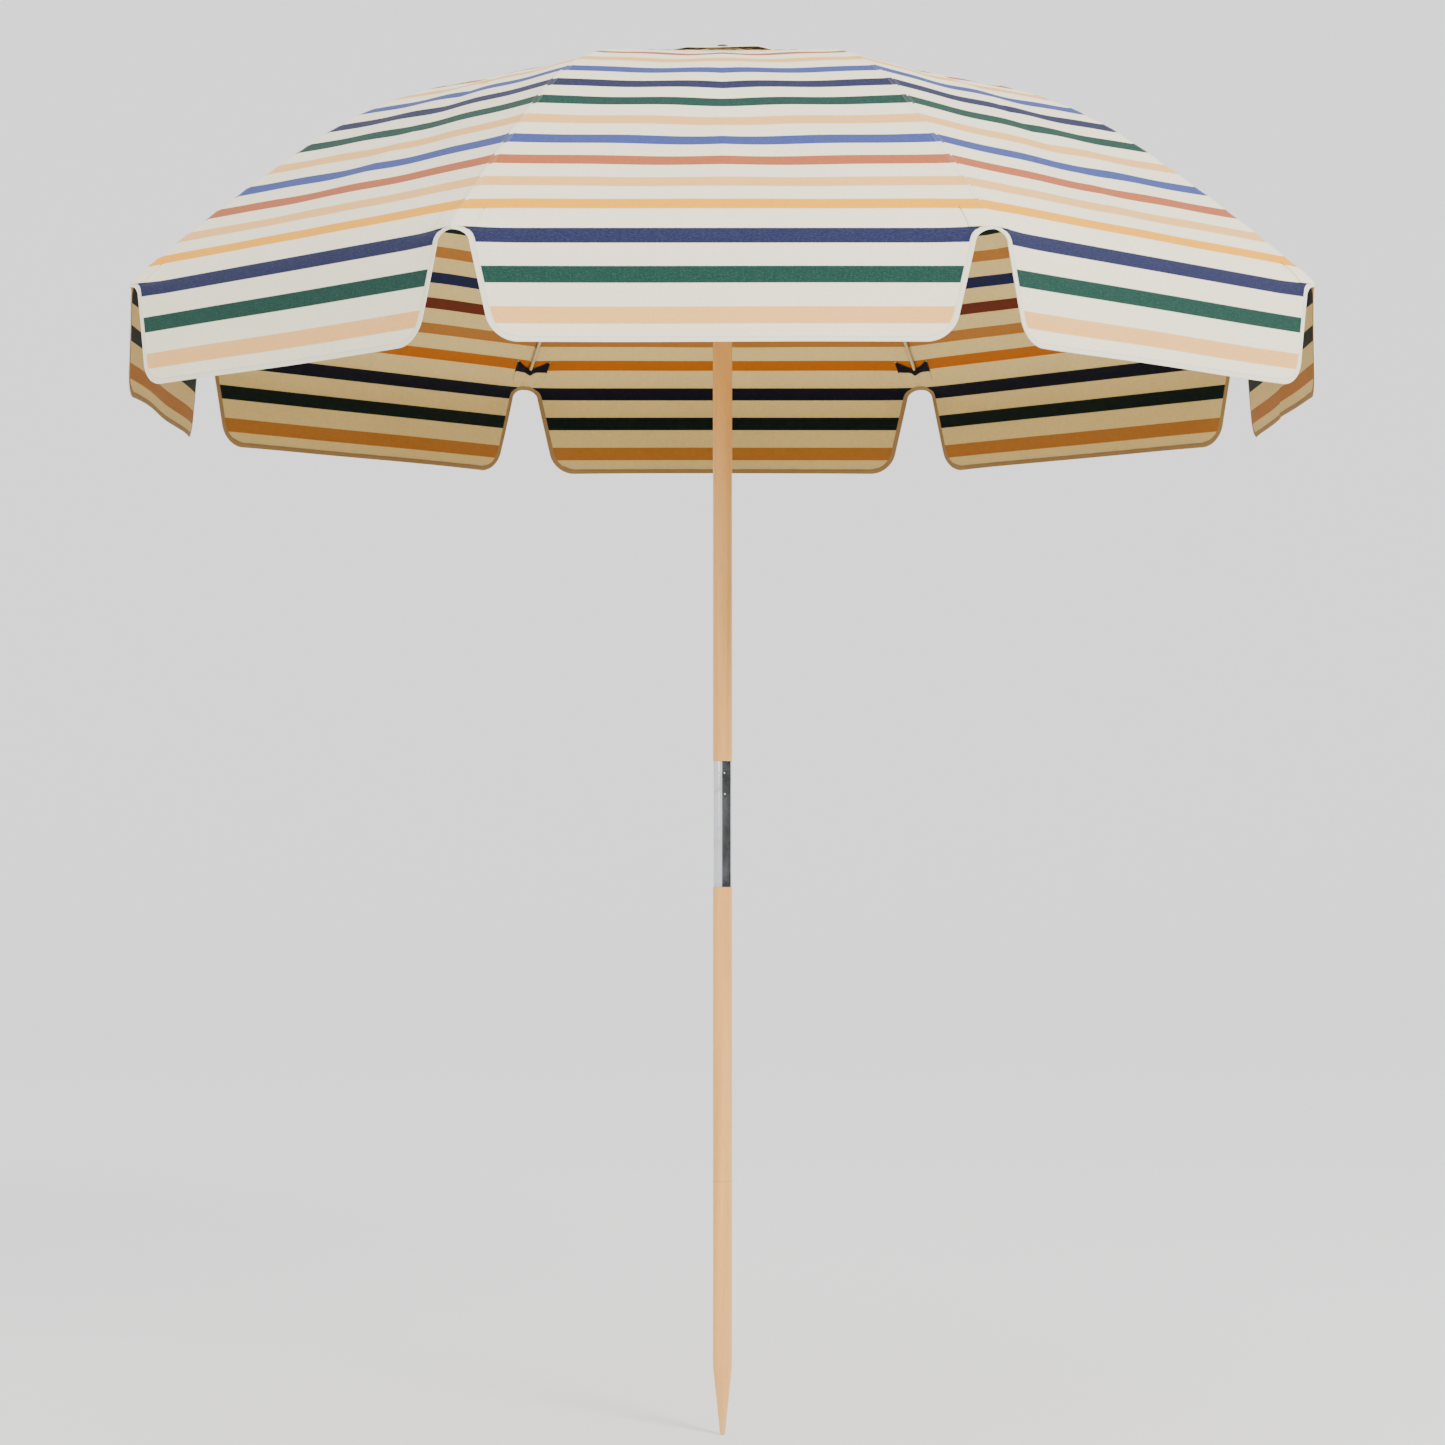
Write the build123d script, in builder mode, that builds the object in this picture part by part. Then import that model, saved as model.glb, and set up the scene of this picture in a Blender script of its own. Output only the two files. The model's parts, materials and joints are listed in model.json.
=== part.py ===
from build123d import *
import math
import os

# Beach umbrella: two-part wooden pole, steel joint tube, crown, runner, eight jointed ribs, eight
# canopy panels with hanging flaps and a vent cap. Millimetres, +Z up. The origin is the point of the
# pole, on its centre line. The front panel faces -Y.

os.makedirs("parts", exist_ok=True)

# ---- driving sizes ----------------------------------------------------------------------------
rib_count = 8
half_step = 180.0 / rib_count  # half the angle between ribs, degrees

# pole
pole_diameter = 32.0
taper_length = 115.0  # the sharpened end
point_radius = 4.0  # blunt tip of the sharpened end
ferrule_bottom = 913.0
ferrule_length = 210.0
ferrule_wall = 1.2
ferrule_step = 1.0  # tube surface inside the pole's, each side
lower_spigot_length = 105.0
spigot_clearance = 0.15  # lower spigot in the steel tube, each side
seat_gap = 0.05  # between pieces fixed to each other
split_gap = 0.3  # between the two poles, end to end
dimple_radius = 1.9
dimple_depth = 0.55

# crown, at the top of the pole
pivot_height = 2296.5  # the rib hinges
pivot_radius = 22.0
crown_radius = 27.0
crown_below = 11.0  # crown block below the hinges
crown_above = 8.0  # and above them
crown_slot_depth = 4.6  # slot bottom inside the hinge circle
wire_radius = 1.0
wire_clearance = 0.06  # rib eye on the crown wire
top_spigot_radius = 9.0
top_spigot_length = 10.0

# ribs
canopy_radius = 1000.0  # pole centre to rib tip
rib_radius = 3.0
crown_slope = 11.0  # slope of the rib at the crown, degrees
shoulder_slope = 36.0
tip_slope = 42.5
shoulder_bend = 0.684 * canopy_radius
outer_bend = 3.42 * canopy_radius
rib_short = 24.0  # the rod ends this far before the fold, inside its pocket
eye_radius = 4.0
eye_thickness = 3.4
slot_clearance = 0.3  # each side of a flat end in its slot
eye_neck = 17.0
socket_radius = 4.2
socket_length = 27.0

# stretchers and their brackets
bracket_radius = 0.35 * canopy_radius  # pole centre to the bracket
bracket_drop = 9.0  # stretcher pin below the rib
bracket_length = 24.0
saddle_radius = 4.6
cheek_thickness = 2.0
cheek_half_width = 5.0
pin_radius = 1.5
pin_clearance = 0.05
stretcher_radius = 2.75
stretcher_eye = 3.6
stretcher_flat = 3.0  # thickness of the flattened ends
upper_flat_length = 14.0
lower_flat_length = 30.0
cross_pin_radius = 1.5
cross_pin_reach = 4.9

# runner
runner_pivot_height = 1905.0
runner_pivot_radius = 30.0
runner_clearance = 0.3
runner_grip_radius = 21.0
runner_grip_length = 30.0
runner_flange_radius = 36.0
runner_flange_half = 9.0
runner_lip_radius = 24.0
runner_lip_height = 5.0

# catch
catch_radius = 4.0
catch_reach = 4.5  # how far it stands out of the pole
catch_length = 15.5
catch_clearance = 0.1
catch_gap = 0.3  # below the runner
release_slot_clearance = 0.4  # the runner's slot that the catch passes through

# canopy
cloth = 1.0
cloth_lift = 5.0  # cloth above the rib centre line
canopy_hole = 100.0
seam_gap = 0.3
flap_length = 163.0
flap_top_half = 355.5
flap_bottom_half = 322.0
flap_corner = 35.0
flap_lean = 88.0  # slope of the hanging flap, degrees
fold_radius = 45.0
fold_start = 15.0  # fold begins this far inside the rib tip
notch_rise = 4.0  # notch top below the rib tip's cloth
vent_radius = 150.0
vent_gap = 6.0
finial_radius = 12.0
finial_height = 11.0
finial_stem = 3.0

# ---- derived sizes ----------------------------------------------------------------------------
pole_radius = pole_diameter / 2
ferrule_radius = pole_radius - ferrule_step
bore_radius = ferrule_radius - ferrule_wall
ferrule_top = ferrule_bottom + ferrule_length
crown_floor = pivot_height - crown_below
crown_top = pivot_height + crown_above
spigot_top = ferrule_bottom + lower_spigot_length
rib_angles = [half_step * (2 * k + 1) for k in range(rib_count)]
panel_angles = [2 * half_step * (k + 1) for k in range(rib_count)]
cos_half = math.cos(math.radians(half_step))
tan_half = math.tan(math.radians(half_step))


def rise(slope):
    return math.sin(math.radians(slope))


def run(slope):
    return math.cos(math.radians(slope))


def bend(start, radius, slope_a, slope_b):
    """End of an arc that starts at this point and steepens from one slope to another."""
    return (
        start[0] + radius * (rise(slope_b) - rise(slope_a)),
        start[1] - radius * (run(slope_a) - run(slope_b)),
    )


shoulder_run = shoulder_bend * (rise(shoulder_slope) - rise(crown_slope))
outer_run = outer_bend * (rise(tip_slope) - rise(shoulder_slope))
straight_run = canopy_radius - pivot_radius - shoulder_run - outer_run
rib_start = (pivot_radius, pivot_height)
rib_bend_1 = (
    pivot_radius + straight_run,
    pivot_height - straight_run * rise(crown_slope) / run(crown_slope),
)
rib_bend_2 = bend(rib_bend_1, shoulder_bend, crown_slope, shoulder_slope)
rib_tip = bend(rib_bend_2, outer_bend, shoulder_slope, tip_slope)
shoulder_middle = bend(rib_bend_1, shoulder_bend, crown_slope, (crown_slope + shoulder_slope) / 2)
rod_slope = tip_slope - math.degrees(rib_short / outer_bend)
rod_end = bend(rib_bend_2, outer_bend, shoulder_slope, rod_slope)
rod_middle = bend(rib_bend_2, outer_bend, shoulder_slope, (shoulder_slope + rod_slope) / 2)

bracket_station = (bracket_radius - pivot_radius) / run(crown_slope)
stretcher_top = (
    bracket_radius - bracket_drop * rise(crown_slope),
    pivot_height - bracket_station * rise(crown_slope) - bracket_drop * run(crown_slope),
)
stretcher_in = stretcher_top[0] - runner_pivot_radius
stretcher_down = stretcher_top[1] - runner_pivot_height
stretcher_length = math.hypot(stretcher_in, stretcher_down)
runner_flange_top = runner_pivot_height + runner_flange_half
runner_flange_floor = runner_pivot_height - runner_flange_half
runner_floor = runner_flange_floor - runner_grip_length
catch_height = runner_floor - catch_gap - catch_radius


def upright(angle, radius=0.0, height=0.0, tilt=0.0):
    """Upright workplane at this azimuth: x outward and tipped down by tilt, y up, z along the tangent."""
    a, t = math.radians(angle), math.radians(tilt)
    return Plane(
        origin=(radius * math.cos(a), radius * math.sin(a), height),
        x_dir=(math.cos(a) * math.cos(t), math.sin(a) * math.cos(t), -math.sin(t)),
        z_dir=(math.sin(a), -math.cos(a), 0),
    )


def facing(angle):
    """Workplane seen from outside at this azimuth: x along the tangent, y up, z outward."""
    a = math.radians(angle)
    return Plane(origin=(0, 0, 0), x_dir=(-math.sin(a), math.cos(a), 0), z_dir=(math.cos(a), math.sin(a), 0))


# ---- pole -------------------------------------------------------------------------------------
with BuildPart() as lower_pole:
    with BuildSketch(Plane.XZ) as lower_outline:
        with BuildLine():
            Polyline(
                (0, 0),
                (point_radius, 0),
                (pole_radius, taper_length),
                (pole_radius, ferrule_bottom - seat_gap),
                (bore_radius - seat_gap - spigot_clearance, ferrule_bottom - seat_gap),
                (bore_radius - seat_gap - spigot_clearance, spigot_top),
                (0, spigot_top),
                (0, 0),
            )
        make_face()
        fillet(lower_outline.vertices().sort_by(Axis.Y)[:2].sort_by(Axis.X)[-1], radius=point_radius * 0.9)
    revolve(axis=Axis.Z)
    chamfer(lower_pole.faces().sort_by(Axis.Z)[-1].edges(), length=1.2)
lower_pole.part.label = "lower_pole"
export_step(lower_pole.part, "parts/lower_pole.step")

with BuildPart() as upper_pole:
    with BuildSketch(Plane.XZ):
        with BuildLine():
            Polyline(
                (0, spigot_top + split_gap),
                (bore_radius - seat_gap, spigot_top + split_gap),
                (bore_radius - seat_gap, ferrule_top + seat_gap),
                (pole_radius, ferrule_top + seat_gap),
                (pole_radius, crown_floor - seat_gap),
                (top_spigot_radius, crown_floor - seat_gap),
                (top_spigot_radius, crown_floor + top_spigot_length),
                (0, crown_floor + top_spigot_length),
                (0, spigot_top + split_gap),
            )
        make_face()
    revolve(axis=Axis.Z)
    with BuildSketch(Plane.YZ.offset(pole_radius + catch_reach - catch_length - 6)):
        with Locations((0, catch_height)):
            Circle(catch_radius + catch_clearance)
    extrude(amount=pole_diameter, mode=Mode.SUBTRACT)
upper_pole.part.label = "upper_pole"
export_step(upper_pole.part, "parts/upper_pole.step")

with BuildPart() as ferrule:
    with Locations((0, 0, ferrule_bottom)):
        Cylinder(ferrule_radius, ferrule_length, align=(Align.CENTER, Align.CENTER, Align.MIN))
        Cylinder(
            bore_radius, ferrule_length, align=(Align.CENTER, Align.CENTER, Align.MIN), mode=Mode.SUBTRACT
        )
    fillet(ferrule.edges().filter_by(GeomType.CIRCLE).filter_by(lambda e: e.radius > bore_radius), radius=0.4)
    # staking dimples, in two staggered pairs on the front and two on the back
    for turn in (0, 180):
        for side, drop in ((12.4, 20.0), (-22.5, 20.0), (-8.6, 46.0), (14.5, 55.0)):
            a = math.radians(-90 + side + turn)
            sphere_centre = ferrule_radius - dimple_depth + dimple_radius
            with Locations((sphere_centre * math.cos(a), sphere_centre * math.sin(a), ferrule_top - drop)):
                Sphere(dimple_radius, mode=Mode.SUBTRACT)
ferrule.part.label = "ferrule"
export_step(ferrule.part, "parts/ferrule.step")

# ---- crown ------------------------------------------------------------------------------------
wire_groove = wire_radius + seat_gap
with BuildPart() as crown:
    with Locations((0, 0, crown_floor)):
        Cylinder(crown_radius, crown_below + crown_above, align=(Align.CENTER, Align.CENTER, Align.MIN))
    fillet(crown.edges().filter_by(GeomType.CIRCLE), radius=1.2)
    # groove for the crown wire, bore for the pole's spigot, hole for the finial screw
    with BuildSketch(Plane.XZ):
        with Locations((crown_radius, pivot_height)):
            Rectangle(2 * (crown_radius - pivot_radius + wire_groove), 2 * wire_groove)
    revolve(axis=Axis.Z, mode=Mode.SUBTRACT)
    with Locations((0, 0, crown_floor)):
        Cylinder(
            top_spigot_radius + seat_gap,
            top_spigot_length + split_gap,
            align=(Align.CENTER, Align.CENTER, Align.MIN),
            mode=Mode.SUBTRACT,
        )
        Cylinder(
            finial_stem + seat_gap,
            crown_below + crown_above,
            align=(Align.CENTER, Align.CENTER, Align.MIN),
            mode=Mode.SUBTRACT,
        )
    for angle in rib_angles:
        with BuildSketch(upright(angle)):
            with Locations((pivot_radius - crown_slot_depth, crown_floor - 1)):
                Rectangle(
                    crown_radius,
                    crown_below + eye_radius + slot_clearance + 1,
                    align=(Align.MIN, Align.MIN),
                )
        extrude(amount=eye_thickness / 2 + slot_clearance, both=True, mode=Mode.SUBTRACT)
crown.part.label = "crown"
export_step(crown.part, "parts/crown.step")

with BuildPart() as crown_wire:
    # straight across every slot and bent between slots, so each rib eye turns on a straight length
    with BuildLine(Plane.XY.offset(pivot_height)) as wire_path:
        corner = pivot_radius / cos_half
        Polyline(
            *[
                (
                    corner * math.cos(math.radians(2 * half_step * k)),
                    corner * math.sin(math.radians(2 * half_step * k)),
                )
                for k in range(rib_count)
            ],
            close=True,
        )
        fillet(wire_path.vertices(), radius=9.0)
    with BuildSketch(Plane(origin=wire_path.line @ 0, z_dir=wire_path.line % 0)):
        Circle(wire_radius)
    sweep()
crown_wire.part.label = "crown_wire"
export_step(crown_wire.part, "parts/crown_wire.step")

vent_floor = crown_top + seat_gap
vent_edge = pivot_height - (vent_radius - pivot_radius) * rise(crown_slope) / run(crown_slope)
vent_edge += cloth_lift / run(crown_slope) + cloth + vent_gap
with BuildPart() as vent_cap:
    with BuildSketch(Plane.XZ):
        with BuildLine():
            Polyline(
                (finial_stem + slot_clearance, vent_floor),
                (crown_radius + 2, vent_floor),
                (vent_radius, vent_edge),
                (vent_radius, vent_edge + cloth),
                (crown_radius + 2, vent_floor + cloth),
                (finial_stem + slot_clearance, vent_floor + cloth),
                (finial_stem + slot_clearance, vent_floor),
            )
        make_face()
    revolve(axis=Axis.Z)
    with BuildSketch(Plane.XY.offset(vent_edge - 5)):
        RegularPolygon(vent_radius, rib_count, rotation=half_step)
    extrude(amount=vent_floor - vent_edge + 20, mode=Mode.INTERSECT)
vent_cap.part.label = "vent_cap"
export_step(vent_cap.part, "parts/vent_cap.step")

with BuildPart() as finial:
    with Locations((0, 0, vent_floor + cloth + seat_gap)):
        Cylinder(finial_radius, finial_height, align=(Align.CENTER, Align.CENTER, Align.MIN))
    fillet(finial.faces().sort_by(Axis.Z)[-1].edges(), radius=finial_height * 0.6)
    stem_floor = crown_floor + top_spigot_length + split_gap
    with Locations((0, 0, stem_floor)):
        Cylinder(
            finial_stem, vent_floor + cloth + 2 - stem_floor, align=(Align.CENTER, Align.CENTER, Align.MIN)
        )
finial.part.label = "finial"
export_step(finial.part, "parts/finial.step")

# ---- runner and catch -------------------------------------------------------------------------
with BuildPart() as runner:
    with BuildSketch(Plane.XZ):
        with BuildLine():
            Polyline(
                (pole_radius + runner_clearance, runner_floor),
                (runner_lip_radius, runner_floor),
                (runner_lip_radius, runner_floor + runner_lip_height),
                (runner_grip_radius, runner_floor + runner_lip_height + 3),
                (runner_grip_radius, runner_flange_floor),
                (runner_flange_radius, runner_flange_floor),
                (runner_flange_radius, runner_flange_top),
                (pole_radius + runner_clearance, runner_flange_top),
                (pole_radius + runner_clearance, runner_floor),
            )
        make_face()
    revolve(axis=Axis.Z)
    fillet(
        runner.edges().filter_by(GeomType.CIRCLE).filter_by(lambda e: e.radius > runner_grip_radius + 1),
        radius=1.0,
    )
    # slot above the lip, where a thumb reaches the catch and the catch passes up the runner
    with Locations((0, 0, runner_floor + runner_lip_height + 1)):
        Box(
            pole_radius + catch_reach + release_slot_clearance,
            2 * (catch_radius + release_slot_clearance),
            runner_flange_top - runner_floor,
            align=(Align.MIN, Align.CENTER, Align.MIN),
            mode=Mode.SUBTRACT,
        )
    for angle in rib_angles:
        # slot for the stretcher's flat end
        with BuildSketch(upright(angle)):
            with Locations((runner_pivot_radius - stretcher_eye - slot_clearance, runner_pivot_height)):
                Rectangle(
                    runner_flange_radius, 2 * runner_flange_half + 2, align=(Align.MIN, Align.CENTER)
                )
        extrude(amount=stretcher_flat / 2 + slot_clearance, both=True, mode=Mode.SUBTRACT)
        # seat for its cross pin, open below and outward so that the pin can lift out
        with BuildSketch(upright(angle)):
            with Locations(
                (
                    runner_pivot_radius - cross_pin_radius - slot_clearance,
                    runner_pivot_height + cross_pin_radius + slot_clearance,
                )
            ):
                Rectangle(
                    runner_flange_radius,
                    runner_flange_half + cross_pin_radius + 2,
                    align=(Align.MIN, Align.MAX),
                )
        extrude(amount=cross_pin_reach + slot_clearance, both=True, mode=Mode.SUBTRACT)
runner.part.label = "runner"
export_step(runner.part, "parts/runner.step")

with BuildPart() as catch:
    catch_start = pole_radius + catch_reach - catch_length
    with Locations((catch_start, 0, catch_height)):
        Cylinder(
            catch_radius, catch_length, rotation=(0, 90, 0), align=(Align.CENTER, Align.CENTER, Align.MIN)
        )
    fillet(catch.faces().sort_by(Axis.X)[-1].edges(), radius=catch_radius * 0.7)
catch.part.label = "catch"
export_step(catch.part, "parts/catch.step")

# ---- ribs, their eyes, brackets, pins and stretchers --------------------------------------------
fit = seat_gap
for k, angle in enumerate(rib_angles, start=1):
    with BuildPart() as rib:
        with BuildLine(upright(angle)) as rib_path:
            rod_start = (
                pivot_radius + (eye_neck + slot_clearance) * run(crown_slope),
                pivot_height - (eye_neck + slot_clearance) * rise(crown_slope),
            )
            Line(rod_start, rib_bend_1)
            ThreePointArc(rib_bend_1, shoulder_middle, rib_bend_2)
            ThreePointArc(rib_bend_2, rod_middle, rod_end)
        with BuildSketch(Plane(origin=rib_path.wires()[0] @ 0, z_dir=rib_path.wires()[0] % 0)):
            Circle(rib_radius)
        sweep()
    rib.part.label = f"rib_{k}"
    export_step(rib.part, f"parts/rib_{k}.step")

    with BuildPart(upright(angle, pivot_radius, pivot_height, crown_slope)) as rib_eye:
        Cylinder(eye_radius, eye_thickness)
        Box(eye_neck, 2 * eye_radius - 2, eye_thickness, align=(Align.MIN, Align.CENTER, Align.CENTER))
        with Locations((eye_neck - 2, 0, 0)):
            Cylinder(
                socket_radius,
                socket_length,
                rotation=(0, 90, 0),
                align=(Align.CENTER, Align.CENTER, Align.MIN),
            )
        with Locations((eye_neck, 0, 0)):
            Cylinder(
                rib_radius + fit,
                socket_length,
                rotation=(0, 90, 0),
                align=(Align.CENTER, Align.CENTER, Align.MIN),
                mode=Mode.SUBTRACT,
            )
        Cylinder(wire_radius + wire_clearance, eye_thickness + 1, mode=Mode.SUBTRACT)
    rib_eye.part.label = f"rib_eye_{k}"
    export_step(rib_eye.part, f"parts/rib_eye_{k}.step")

    bracket_x = bracket_radius
    bracket_z = pivot_height - bracket_station * rise(crown_slope)
    cheek_inner = stretcher_flat / 2 + slot_clearance
    with BuildPart(upright(angle, bracket_x, bracket_z, crown_slope)) as bracket:
        Cylinder(saddle_radius, bracket_length, rotation=(0, 90, 0))
        with Locations(
            (0, 0, cheek_inner + cheek_thickness / 2), (0, 0, -cheek_inner - cheek_thickness / 2)
        ):
            Box(
                2 * cheek_half_width,
                bracket_drop,
                cheek_thickness,
                align=(Align.CENTER, Align.MAX, Align.CENTER),
            )
        with Locations(
            (0, -bracket_drop, cheek_inner + cheek_thickness / 2),
            (0, -bracket_drop, -cheek_inner - cheek_thickness / 2),
        ):
            Cylinder(cheek_half_width, cheek_thickness)
        with Locations((0, -bracket_drop, 0)):
            Cylinder(pin_radius + fit, 4 * cheek_inner + 4 * cheek_thickness, mode=Mode.SUBTRACT)
        Cylinder(rib_radius + fit, bracket_length + 1, rotation=(0, 90, 0), mode=Mode.SUBTRACT)
    bracket.part.label = f"rib_bracket_{k}"
    export_step(bracket.part, f"parts/rib_bracket_{k}.step")

    pin_half = cheek_inner + cheek_thickness + fit
    with BuildPart(upright(angle, *stretcher_top)) as pin:
        Cylinder(pin_radius, 2 * pin_half)
        with Locations((0, 0, pin_half), (0, 0, -pin_half - 1)):
            Cylinder(pin_radius + 1, 1, align=(Align.CENTER, Align.CENTER, Align.MIN))
    pin.part.label = f"bracket_pin_{k}"
    export_step(pin.part, f"parts/bracket_pin_{k}.step")

    stretcher_tilt = 180 - math.degrees(math.atan2(stretcher_down, stretcher_in))
    with BuildPart(upright(angle, *stretcher_top, stretcher_tilt)) as stretcher:
        Cylinder(stretcher_eye, stretcher_flat)
        Box(
            upper_flat_length,
            2 * stretcher_radius,
            stretcher_flat,
            align=(Align.MIN, Align.CENTER, Align.CENTER),
        )
        with Locations((upper_flat_length - 2, 0, 0)):
            Cylinder(
                stretcher_radius,
                stretcher_length - upper_flat_length - lower_flat_length + 4,
                rotation=(0, 90, 0),
                align=(Align.CENTER, Align.CENTER, Align.MIN),
            )
        with Locations((stretcher_length, 0, 0)):
            Box(
                lower_flat_length,
                2 * stretcher_radius,
                stretcher_flat,
                align=(Align.MAX, Align.CENTER, Align.CENTER),
            )
            Cylinder(stretcher_eye, stretcher_flat)
            Cylinder(cross_pin_radius, 2 * cross_pin_reach)
        Cylinder(pin_radius + pin_clearance, stretcher_flat + 1, mode=Mode.SUBTRACT)
    stretcher.part.label = f"stretcher_{k}"
    export_step(stretcher.part, f"parts/stretcher_{k}.step")


# ---- canopy -----------------------------------------------------------------------------------
def cloth_point(radius_point, slope, lift):
    """A point on the rib line raised by lift along its normal, seen at the middle of a panel."""
    return (
        (radius_point[0] + lift * rise(slope)) * cos_half,
        radius_point[1] + lift * run(slope),
    )


def crown_line(lift):
    """The cloth's line from the top hole to the start of the fold."""
    points = []
    hole_z = pivot_height - (canopy_hole - pivot_radius) * rise(crown_slope) / run(crown_slope)
    for part in range(4):
        t = part / 4
        points.append(
            cloth_point(
                (
                    canopy_hole + t * (rib_bend_1[0] - canopy_hole),
                    hole_z + t * (rib_bend_1[1] - hole_z),
                ),
                crown_slope,
                lift,
            )
        )
    for part in range(6):
        slope = crown_slope + (shoulder_slope - crown_slope) * part / 6
        points.append(cloth_point(bend(rib_bend_1, shoulder_bend, crown_slope, slope), slope, lift))
    fold_slope = tip_slope - math.degrees(fold_start / run(tip_slope) / outer_bend)
    for part in range(5):
        slope = shoulder_slope + (fold_slope - shoulder_slope) * part / 4
        points.append(cloth_point(bend(rib_bend_2, outer_bend, shoulder_slope, slope), slope, lift))
    return points, fold_slope


inner_line, fold_slope = crown_line(cloth_lift)
outer_line, fold_slope = crown_line(cloth_lift + cloth)
panel_slope = math.degrees(math.atan(math.tan(math.radians(fold_slope)) / cos_half))
fold_line_height = rib_tip[1] + cloth_lift * run(tip_slope)
flap_floor = fold_line_height - flap_length


def fold_points(start, radius):
    middle = bend(start, radius, panel_slope, (panel_slope + flap_lean) / 2)
    end = bend(start, radius, panel_slope, flap_lean)
    foot = (end[0] + (end[1] - flap_floor) * run(flap_lean) / rise(flap_lean), flap_floor)
    return middle, end, foot


for k, angle in enumerate(panel_angles, start=1):
    with BuildPart() as panel:
        with BuildSketch(upright(angle)):
            with BuildLine():
                in_mid, in_end, in_foot = fold_points(inner_line[-1], fold_radius)
                out_start = (
                    inner_line[-1][0] + cloth * rise(panel_slope),
                    inner_line[-1][1] + cloth * run(panel_slope),
                )
                out_mid, out_end, out_foot = fold_points(out_start, fold_radius + cloth)
                Spline(*inner_line)
                ThreePointArc(inner_line[-1], in_mid, in_end)
                Line(in_end, in_foot)
                Line(in_foot, out_foot)
                Line(out_foot, out_end)
                ThreePointArc(out_end, out_mid, out_start)
                Spline(*([out_start] + outer_line[-2::-1]))
                Line(outer_line[0], inner_line[0])
            make_face()
        extrude(amount=canopy_radius * 0.5, both=True)
        # the panel's two straight seams
        wedge = canopy_radius * 1.2
        gap = seam_gap / 2 / rise(half_step)
        with BuildSketch(Plane.XY.offset(flap_floor - 20)):
            with BuildLine():
                a = math.radians(angle)
                tip = (gap * math.cos(a), gap * math.sin(a))
                near = math.radians(angle - half_step)
                far = math.radians(angle + half_step)
                Polyline(
                    tip,
                    (tip[0] + wedge * math.cos(near), tip[1] + wedge * math.sin(near)),
                    (tip[0] + wedge * math.cos(far), tip[1] + wedge * math.sin(far)),
                    tip,
                )
            make_face()
        extrude(amount=pivot_height - flap_floor + 60, mode=Mode.INTERSECT)
        # the flap between its two notches
        with BuildSketch(facing(angle)) as flap_outline:
            notch_top = fold_line_height - notch_rise
            with BuildLine():
                Polyline(
                    (-canopy_radius, pivot_height + 50),
                    (-canopy_radius, notch_top),
                    (-flap_top_half, notch_top),
                    (-flap_bottom_half, flap_floor - 1),
                    (flap_bottom_half, flap_floor - 1),
                    (flap_top_half, notch_top),
                    (canopy_radius, notch_top),
                    (canopy_radius, pivot_height + 50),
                    (-canopy_radius, pivot_height + 50),
                )
            make_face()
            fillet(flap_outline.vertices().sort_by(Axis.Z)[:2], radius=flap_corner)
        extrude(amount=canopy_radius * 1.2, mode=Mode.INTERSECT)
    panel.part.label = f"panel_{k}"
    export_step(panel.part, f"parts/panel_{k}.step")
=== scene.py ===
"""Beach umbrella: finishes for its wood, metal and plastic, and the striped cloth canopy."""

import json
import math

import bpy
import numpy as np
from bpy.props import FloatProperty, FloatVectorProperty, IntProperty, PointerProperty
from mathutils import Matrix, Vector

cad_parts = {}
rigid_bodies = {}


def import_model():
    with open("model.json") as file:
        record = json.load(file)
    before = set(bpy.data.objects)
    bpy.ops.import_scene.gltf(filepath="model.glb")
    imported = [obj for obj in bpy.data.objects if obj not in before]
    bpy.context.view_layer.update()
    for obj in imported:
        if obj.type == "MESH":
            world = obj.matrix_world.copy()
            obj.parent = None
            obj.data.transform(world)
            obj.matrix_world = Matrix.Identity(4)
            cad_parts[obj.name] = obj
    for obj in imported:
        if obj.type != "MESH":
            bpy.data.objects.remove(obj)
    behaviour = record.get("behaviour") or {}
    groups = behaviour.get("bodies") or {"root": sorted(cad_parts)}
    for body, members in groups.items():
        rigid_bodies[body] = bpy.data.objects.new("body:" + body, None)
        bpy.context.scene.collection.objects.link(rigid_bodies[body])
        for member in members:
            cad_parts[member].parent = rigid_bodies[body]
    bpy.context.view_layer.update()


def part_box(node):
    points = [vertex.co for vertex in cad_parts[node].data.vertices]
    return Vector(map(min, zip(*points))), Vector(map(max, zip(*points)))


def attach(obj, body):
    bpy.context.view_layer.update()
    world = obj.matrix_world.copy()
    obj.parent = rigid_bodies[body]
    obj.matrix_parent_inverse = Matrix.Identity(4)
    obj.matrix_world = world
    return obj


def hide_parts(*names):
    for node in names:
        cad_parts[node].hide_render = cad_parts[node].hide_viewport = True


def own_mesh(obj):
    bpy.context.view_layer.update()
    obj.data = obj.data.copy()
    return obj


bl_info = {
    "name": "Beach umbrella",
    "version": (1, 0, 0),
    "blender": (4, 5, 0),
    "location": "View3D > Sidebar > Umbrella",
    "description": "Builds the cloth, pockets and finishes of a beach umbrella",
    "category": "Object",
}

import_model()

MM = 0.001
RIBS = 8
HALF = math.pi / RIBS  # half of the angle between two ribs
# radii of the two bends in a rib, as shares of its reach
SHOULDER_BEND = 0.684
TIP_BEND = 3.42
FAR = 0.1  # stands for any longer distance to an edge or seam
SEAM_COLUMNS = (0, 0.002, 0.0055, 0.007, 0.0085, 0.012)  # columns beside a rib, metres from its seam
FOLD_ZONE = 0.075  # height above the notches with closer rows
# the vent cap: radius of its middle, and of the flat part of that
VENT_MIDDLE = 0.033
VENT_FLAT = 0.029
SEAM_SLANT = 0.75  # rise of the stripes on a seam's lap for each metre across it
TAPE = ((0.84, 0.775, 0.61), (0.70, 0.635, 0.50))  # the binding's threads, light and dark
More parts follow.
